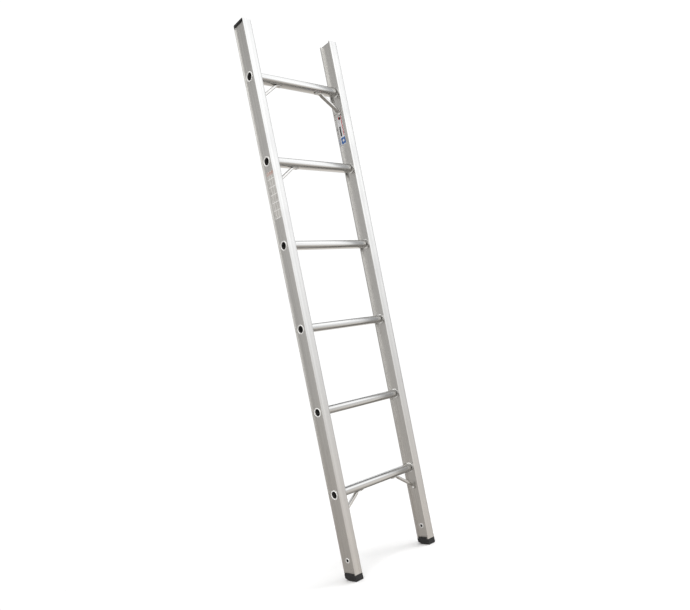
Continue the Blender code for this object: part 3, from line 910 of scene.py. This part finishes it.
def make_floor():
    """A pale floor that fades out by distance, so that it meets the white backdrop with no edge."""
    bpy.ops.mesh.primitive_grid_add(x_subdivisions=8, y_subdivisions=8, size=12)
    floor = bpy.context.object
    floor.name = "floor"
    material = bpy.data.materials.new("pale floor")
    material.use_nodes = True
    tree = material.node_tree
    shader = tree.nodes["Principled BSDF"]
    shader.inputs["Base Color"].default_value = (FLOOR_TONE, FLOOR_TONE, FLOOR_TONE, 1)
    shader.inputs["Roughness"].default_value = 0.9
    shader.inputs["Specular IOR Level"].default_value = 0.1
    clear = tree.nodes.new("ShaderNodeBsdfTransparent")
    blend = tree.nodes.new("ShaderNodeMixShader")
    coordinates = tree.nodes.new("ShaderNodeTexCoord")
    length = tree.nodes.new("ShaderNodeVectorMath")
    length.operation = "LENGTH"
    fade = tree.nodes.new("ShaderNodeMapRange")
    fade.interpolation_type = "SMOOTHSTEP"
    fade.inputs["From Min"].default_value, fade.inputs["From Max"].default_value = FLOOR_FADE
    tree.links.new(coordinates.outputs["Object"], length.inputs[0])
    tree.links.new(length.outputs["Value"], fade.inputs["Value"])
    tree.links.new(fade.outputs[0], blend.inputs[0])
    tree.links.new(shader.outputs[0], blend.inputs[1])
    tree.links.new(clear.outputs[0], blend.inputs[2])
    tree.links.new(blend.outputs[0], tree.nodes["Material Output"].inputs["Surface"])
    floor.data.materials.append(material)
    floor.visible_glossy = False  # the metal reflects the studio's ground instead


def make_world():
    """White where the camera looks past the ladder, and a soft studio for light and reflections.

    The studio has one soft box at the upper front right and a weaker one at the front left, walls
    that brighten to the right and a warm ground. Three zones are dimmer: the ceiling at the back
    left, the right side, and the back right high up.
    """
    world = bpy.data.worlds.new("studio")
    bpy.context.scene.world = world
    world.use_nodes = True
    studio = Nodes(world.node_tree, "Generated")
    tree, (x, y, z) = studio.tree, (studio.axes[axis] for axis in "xyz")
    spread = studio.spread

    def product(first, *others):
        for other in others:
            first = studio.math("MULTIPLY", first, other)
        return first

    azimuth = studio.math("ARCTAN2", y, x)
    right_box = product(
        spread(y, 0.0, -0.75), spread(z, -0.06, 0.26), spread(x, -0.5, 0.4, 0.0, 0.48)
    )
    left_box = product(
        spread(y, 0.1, -0.5), spread(z, -0.25, 0.15), spread(x, 0.3, -0.3, 0.0, 0.6)
    )
    walls = product(
        spread(x, -0.65, 0.65, 0.42, 0.76),
        spread(z, 0.05, 0.35, 1.0, 1.18),
        spread(z, -0.5, -0.3, 0.55, 1.0),
    )
    dim_zones = [
        (spread(z, 0.44, 0.50), spread(x, -0.1, -0.4, 0.0, 0.4), spread(y, -0.2, 0.2)),
        (spread(azimuth, -0.58, -0.45, 0.0, 0.55), spread(azimuth, 0.7, 0.3), spread(z, 0.62, 0.5)),
        (spread(x, 0.15, 0.35, 0.0, 0.85), spread(y, 0.1, 0.35), spread(z, 0.34, 0.46)),
    ]
    level = studio.math("ADD", walls, studio.math("ADD", right_box, left_box))
    for zone in dim_zones:
        level = product(level, studio.math("SUBTRACT", 1.0, product(*zone)))
    cool, warm, ground = (0.985, 0.99, 1.0), (1.0, 0.975, 0.94), (1.0, 0.94, 0.87)
    air = studio.mix(spread(x, 0.1, -0.4), cool, warm)
    colour = studio.mix(spread(z, 0.15, -0.35), air, ground)
    lit = tree.nodes.new("ShaderNodeBackground")
    studio.put(colour, lit.inputs["Color"])
    studio.put(level, lit.inputs["Strength"])
    backdrop = tree.nodes["Background"]
    backdrop.inputs["Color"].default_value = (1, 1, 1, 1)
    backdrop.inputs["Strength"].default_value = BACKDROP_LEVEL
    rays = tree.nodes.new("ShaderNodeLightPath")
    blend = tree.nodes.new("ShaderNodeMixShader")
    tree.links.new(rays.outputs["Is Camera Ray"], blend.inputs[0])
    tree.links.new(lit.outputs[0], blend.inputs[1])
    tree.links.new(backdrop.outputs[0], blend.inputs[2])
    tree.links.new(blend.outputs[0], tree.nodes["World Output"].inputs["Surface"])


def area_light(name, location, target, side, power):
    data = bpy.data.lights.new(name, "AREA")
    data.shape = "SQUARE"
    data.size = side
    data.energy = power
    light = bpy.data.objects.new(name, data)
    bpy.context.scene.collection.objects.link(light)
    light.location = location
    light.rotation_euler = (Vector(target) - Vector(location)).to_track_quat("-Z", "Y").to_euler()
    light.visible_glossy = False  # the metal reflects the studio instead


def make_camera():
    """A 33 mm view from the left front, a little below the middle, rolled as the section leans."""
    data = bpy.data.cameras.new("camera")
    data.sensor_width = 36
    data.lens = CAMERA_LENS
    data.shift_x, data.shift_y = CAMERA_SHIFT
    camera = bpy.data.objects.new("camera", data)
    bpy.context.scene.collection.objects.link(camera)
    forward = Vector(CAMERA_FORWARD).normalized()
    right = forward.cross(Vector(CAMERA_UP)).normalized()
    turn = Matrix((right, right.cross(forward), -forward)).transposed()
    camera.matrix_world = Matrix.Translation(CAMERA_PLACE) @ turn.to_4x4()
    bpy.context.scene.camera = camera


for side_word, side_sign in SIDES.items():
    make_stile(side_word, side_sign)
    make_foot(side_word, side_sign)
    make_cap(side_word, side_sign)
    make_eyelet(side_word)
make_rungs()
for brace_name in BRACE_NAMES:
    make_brace(brace_name)
for node_name in sorted(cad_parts):
    if node_name.startswith("rivet_"):
        make_rivet(node_name)
make_sticker("rating_sticker", rating_film)
make_sticker("instruction_sticker", instruction_film)

make_floor()
make_world()
for light_row in LIGHTS:
    area_light(*light_row)
make_camera()
bpy.context.scene.view_settings.view_transform = "Standard"
